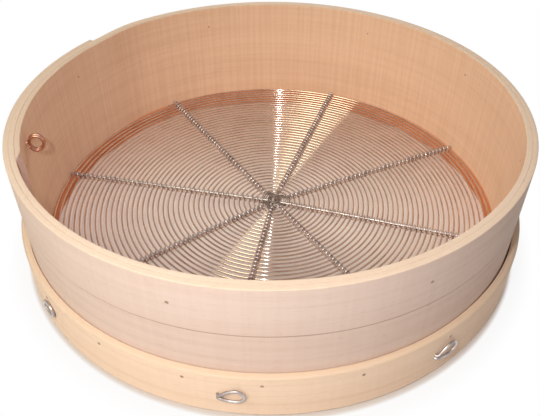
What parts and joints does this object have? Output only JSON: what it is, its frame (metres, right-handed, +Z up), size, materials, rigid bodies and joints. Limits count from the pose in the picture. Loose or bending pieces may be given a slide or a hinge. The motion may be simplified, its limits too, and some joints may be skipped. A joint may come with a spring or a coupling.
{
  "type": "wooden sieve",
  "caption": "Round kitchen sieve: a wall of wound bentwood strip with a nailed foot band and an open floor of spiral wire laced to radial wire spokes.",
  "frame": {"origin": "on the sieve's axis, in the plane that the foot rests on", "axes": "+Z up along the axis; +Y points away from the picture's viewer, to the far wall; +X to the viewer's right"},
  "size_m": [0.362, 0.3622, 0.1],
  "materials": {
    "wall_wood": "bare planed bentwood, satin",
    "band_wood": "bare bentwood, slightly yellower",
    "floor_wire": "drawn bright wire",
    "spoke_wire": "drawn bright wire",
    "lace_wire": "thin soft wire, dull",
    "eye_wire": "bent wire, slightly dull",
    "brad_steel": "plain steel, dulled"
  },
  "bodies": {
    "root": {"wound_hoop": "wall_wood", "base_band": "band_wood", "floor_spiral": "floor_wire", "spoke_1": "spoke_wire", "spoke_2": "spoke_wire", "spoke_3": "spoke_wire", "spoke_4": "spoke_wire", "spoke_5": "spoke_wire", "spoke_6": "spoke_wire", "spoke_7": "spoke_wire", "spoke_8": "spoke_wire", "lacing_1": "lace_wire", "lacing_2": "lace_wire", "lacing_3": "lace_wire", "lacing_4": "lace_wire", "lacing_5": "lace_wire", "lacing_6": "lace_wire", "lacing_7": "lace_wire", "lacing_8": "lace_wire", "hub_tie": "lace_wire", "lap_eye": "eye_wire", "wall_brad_1": "brad_steel", "wall_brad_2": "brad_steel", "wall_brad_3": "brad_steel", "wall_brad_4": "brad_steel", "wall_brad_5": "brad_steel", "wall_brad_6": "brad_steel", "wall_brad_7": "brad_steel", "wall_brad_8": "brad_steel", "band_brad_1": "brad_steel", "band_brad_2": "brad_steel", "band_brad_3": "brad_steel", "band_brad_4": "brad_steel", "band_brad_5": "brad_steel", "band_brad_6": "brad_steel", "band_brad_7": "brad_steel", "band_brad_8": "brad_steel", "band_brad_9": "brad_steel", "band_brad_10": "brad_steel", "band_brad_11": "brad_steel", "band_brad_12": "brad_steel", "band_brad_13": "brad_steel", "band_brad_14": "brad_steel", "band_brad_15": "brad_steel", "band_brad_16": "brad_steel", "band_brad_17": "brad_steel", "band_brad_18": "brad_steel", "band_brad_19": "brad_steel", "band_brad_20": "brad_steel"}
  },
  "joints": []
}
